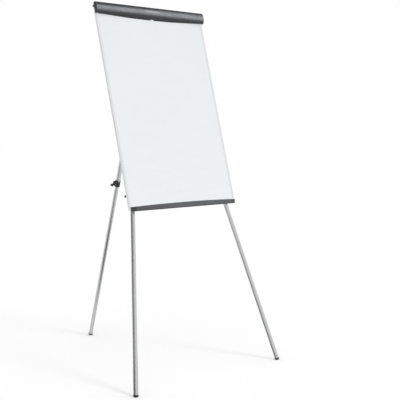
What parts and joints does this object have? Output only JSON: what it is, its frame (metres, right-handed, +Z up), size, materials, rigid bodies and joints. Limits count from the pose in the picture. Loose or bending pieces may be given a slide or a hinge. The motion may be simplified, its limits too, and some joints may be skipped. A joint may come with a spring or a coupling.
{
  "type": "flipchart easel",
  "caption": "Free-standing tripod flipchart easel: a leaning drywipe board with a hinged pad clamp, sliding pad hooks and a pen tray on telescopic legs.",
  "frame": {"origin": "on the floor, at the middle of the footprint between the front feet and the rear foot", "axes": "+Z up, +Y behind the board, +X to the right of a person who faces the board"},
  "size_m": [0.9728, 1.1295, 1.8817],
  "materials": {
    "enamel": "white glazed drywipe steel",
    "core": "softboard core",
    "zinc_sheet": "grey painted backing sheet",
    "frame": "satin anodised",
    "tube": "bright drawn tube, satin silver",
    "slate": "dark slate, fine grain",
    "black": "black moulding",
    "nylon": "natural nylon",
    "badge": "light grey plate, blank",
    "rubber": "soft black rubber",
    "steel": "zinc plated",
    "plate": "black powder coat"
  },
  "bodies": {
    "board": {"writing_sheet": "enamel", "board_core": "core", "back_sheet": "zinc_sheet", "frame_bottom": "frame", "frame_top": "frame", "frame_left": "frame", "frame_right": "frame", "corner_keys": "black", "hook_rail": "frame", "rail_screws": "steel", "clamp_pivot_screws": "steel", "pen_tray": "slate", "tray_cap_left": "black", "tray_cap_right": "black", "tray_screws": "steel", "head_plate": "plate", "head_screws": "steel", "pivot_studs": "steel", "pivot_spacers": "nylon", "pivot_washers": "steel", "pivot_dome_nuts": "steel", "rear_hinge_bracket": "plate", "rear_hinge_pin": "steel", "rear_pin_clip": "steel", "rear_leg_stop": "rubber", "leg_saddle_left": "black", "leg_saddle_right": "black", "saddle_screws": "steel"},
    "pad_clamp": {"clamp_cover": "slate", "clamp_cap_left": "black", "clamp_cap_right": "black", "clamp_grip": "rubber", "clamp_badge": "badge"},
    "hook_left": {"pad_hook_left": "black"},
    "hook_right": {"pad_hook_right": "black"},
    "left_leg": {"left_leg_upper_tube": "tube", "left_leg_tube_plug": "black", "left_leg_collar": "black", "left_leg_lever_pin": "steel"},
    "left_leg_slide": {"left_leg_lower_tube": "tube", "left_leg_glide_bush": "nylon", "left_leg_foot": "rubber"},
    "left_leg_lever": {"left_leg_lever": "black"},
    "right_leg": {"right_leg_upper_tube": "tube", "right_leg_tube_plug": "black", "right_leg_collar": "black", "right_leg_lever_pin": "steel"},
    "right_leg_slide": {"right_leg_lower_tube": "tube", "right_leg_glide_bush": "nylon", "right_leg_foot": "rubber"},
    "right_leg_lever": {"right_leg_lever": "black"},
    "rear_leg": {"rear_leg_upper_tube": "tube", "rear_leg_tube_plug": "black", "rear_leg_collar": "black", "rear_leg_lever_pin": "steel"},
    "rear_leg_slide": {"rear_leg_lower_tube": "tube", "rear_leg_glide_bush": "nylon", "rear_leg_foot": "rubber"},
    "rear_leg_lever": {"rear_leg_lever": "black"}
  },
  "joints": [
    {"name": "clamp_hinge", "type": "hinge", "parent": "board", "child": "pad_clamp", "pos_m": [0, -0.05031, 1.85985], "axis": [-1, 0, 0], "range_deg": [0, 85]},
    {"name": "hook_left_slide", "type": "slide", "parent": "board", "child": "hook_left", "axis": [1, 0, 0], "range_m": [-0.055, 0.035]},
    {"name": "hook_right_slide", "type": "slide", "parent": "board", "child": "hook_right", "axis": [1, 0, 0], "range_m": [-0.035, 0.055]},
    {"name": "left_leg_fold", "type": "hinge", "parent": "board", "child": "left_leg", "pos_m": [-0.123, -0.04062, 1.78841], "axis": [0, -0.9613, 0.2756], "range_deg": [0, 10.5]},
    {"name": "left_leg_extend", "type": "slide", "parent": "left_leg", "child": "left_leg_slide", "axis": [0.1856, 0.2708, 0.9446], "range_m": [0, 0.73]},
    {"name": "left_leg_lever_hinge", "type": "hinge", "parent": "left_leg", "child": "left_leg_lever", "pos_m": [-0.31344, -0.28962, 0.92006], "axis": [0, 0.9613, -0.2756], "range_deg": [0, 90]},
    {"name": "right_leg_fold", "type": "hinge", "parent": "board", "child": "right_leg", "pos_m": [0.123, -0.04062, 1.78841], "axis": [0, 0.9613, -0.2756], "range_deg": [0, 10.5]},
    {"name": "right_leg_extend", "type": "slide", "parent": "right_leg", "child": "right_leg_slide", "axis": [-0.1856, 0.2708, 0.9446], "range_m": [0, 0.73]},
    {"name": "right_leg_lever_hinge", "type": "hinge", "parent": "right_leg", "child": "right_leg_lever", "pos_m": [0.31344, -0.28962, 0.92006], "axis": [0, -0.9613, 0.2756], "range_deg": [0, 90]},
    {"name": "rear_leg_fold", "type": "hinge", "parent": "board", "child": "rear_leg", "pos_m": [0, -0.01659, 1.78152], "axis": [-1, 0, 0], "range_deg": [0, 33]},
    {"name": "rear_leg_extend", "type": "slide", "parent": "rear_leg", "child": "rear_leg_slide", "axis": [0, -0.3049, 0.9524], "range_m": [0, 0.73]},
    {"name": "rear_leg_lever_hinge", "type": "hinge", "parent": "rear_leg", "child": "rear_leg_lever", "pos_m": [-0.0195, 0.2545, 0.93486], "axis": [0, 0.9524, 0.3049], "range_deg": [0, 90]}
  ]
}
